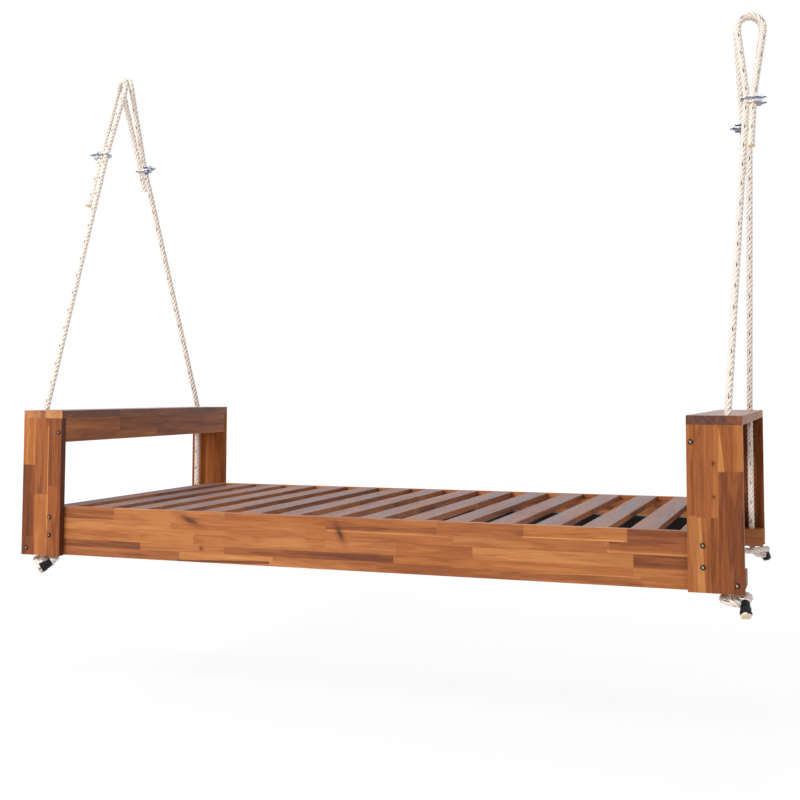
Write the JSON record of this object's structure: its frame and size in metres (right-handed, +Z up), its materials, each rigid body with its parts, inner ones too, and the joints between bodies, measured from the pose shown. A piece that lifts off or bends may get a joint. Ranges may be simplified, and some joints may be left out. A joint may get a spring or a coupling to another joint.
{
  "type": "hanging swing bed",
  "caption": "Slatted daybed of edge-glued boards with open arms, hung on knotted twisted ropes with clipped eyes.",
  "frame": {"origin": "middle of the hanging line, the level line through the two hooks that carry the rope eyes", "axes": "+X to the right along the bed, +Y to the back, +Z up"},
  "size_m": [2.3272, 1.094, 1.7278],
  "materials": {
    "board_wood": "satin oiled, edge-glued staves",
    "slat_wood": "satin oiled",
    "block_wood": "satin oiled end blocks",
    "black_steel": "black powder coat",
    "bronzed_steel": "dark bronzed, bright worn socket",
    "brass_insert": "plain brass",
    "zinc_steel": "zinc plated",
    "rope": "twisted of four strands, cream with a dark tracer yarn",
    "black_tape": "slightly glossy wrapped tape"
  },
  "bodies": {
    "bights": {"left_bights": "rope", "right_bights": "rope"},
    "eyes": {"left_front_eye": "rope", "left_back_eye": "rope", "right_front_eye": "rope", "right_back_eye": "rope", "clip_u_bolts": "zinc_steel", "clip_saddles": "zinc_steel", "clip_nuts": "zinc_steel"},
    "bed": {"front_rail": "board_wood", "back_rail": "board_wood", "left_end_rail": "board_wood", "right_end_rail": "board_wood", "front_ledger": "board_wood", "back_ledger": "board_wood", "slat_01": "slat_wood", "slat_02": "slat_wood", "slat_03": "slat_wood", "slat_04": "slat_wood", "slat_05": "slat_wood", "slat_06": "slat_wood", "slat_07": "slat_wood", "slat_08": "slat_wood", "slat_09": "slat_wood", "slat_10": "slat_wood", "slat_11": "slat_wood", "slat_12": "slat_wood", "slat_13": "slat_wood", "slat_14": "slat_wood", "slat_15": "slat_wood", "slat_16": "slat_wood", "centre_beam": "black_steel", "beam_hangers": "black_steel", "left_cap": "board_wood", "right_cap": "board_wood", "left_arm_rail": "board_wood", "right_arm_rail": "board_wood", "left_front_post": "board_wood", "left_back_post": "board_wood", "right_front_post": "board_wood", "right_back_post": "board_wood", "left_front_block": "block_wood", "left_back_block": "block_wood", "right_front_block": "block_wood", "right_back_block": "block_wood", "post_bolts": "bronzed_steel", "bolt_inserts": "brass_insert", "slat_screws": "zinc_steel", "end_rail_screws": "zinc_steel", "left_front_knot": "rope", "left_back_knot": "rope", "right_front_knot": "rope", "right_back_knot": "rope", "knot_tapes": "black_tape"},
    "left_front_rope": {"left_front_rope": "rope"},
    "left_back_rope": {"left_back_rope": "rope"},
    "right_front_rope": {"right_front_rope": "rope"},
    "right_back_rope": {"right_back_rope": "rope"}
  },
  "joints": [
    {"name": "swing", "type": "hinge", "parent": "bights", "child": "eyes", "pos_m": [0, 0, 0], "axis": [1, 0, 0], "range_deg": [-20, 20]},
    {"name": "sway", "type": "slide", "parent": "eyes", "child": "bed", "axis": [1, 0, 0], "range_m": [-0.08, 0.08], "stiffness_N_per_m": 445},
    {"name": "left_front_lean", "type": "hinge", "parent": "bed", "child": "left_front_rope", "pos_m": [-1.065, -0.471, -1.194], "axis": [0, 1, 0], "range_deg": [-5.5, 5.5]},
    {"name": "left_back_lean", "type": "hinge", "parent": "bed", "child": "left_back_rope", "pos_m": [-1.065, 0.471, -1.194], "axis": [0, 1, 0], "range_deg": [-5.5, 5.5]},
    {"name": "right_front_lean", "type": "hinge", "parent": "bed", "child": "right_front_rope", "pos_m": [1.065, -0.471, -1.194], "axis": [0, 1, 0], "range_deg": [-5.5, 5.5]},
    {"name": "right_back_lean", "type": "hinge", "parent": "bed", "child": "right_back_rope", "pos_m": [1.065, 0.471, -1.194], "axis": [0, 1, 0], "range_deg": [-5.5, 5.5]}
  ],
  "couplings": [
    {"joint": "left_front_lean", "follows": "sway", "rad_per_m": -1.1194},
    {"joint": "left_back_lean", "follows": "sway", "rad_per_m": -1.1331},
    {"joint": "right_front_lean", "follows": "sway", "rad_per_m": -1.0982},
    {"joint": "right_back_lean", "follows": "sway", "rad_per_m": -1.1364}
  ]
}
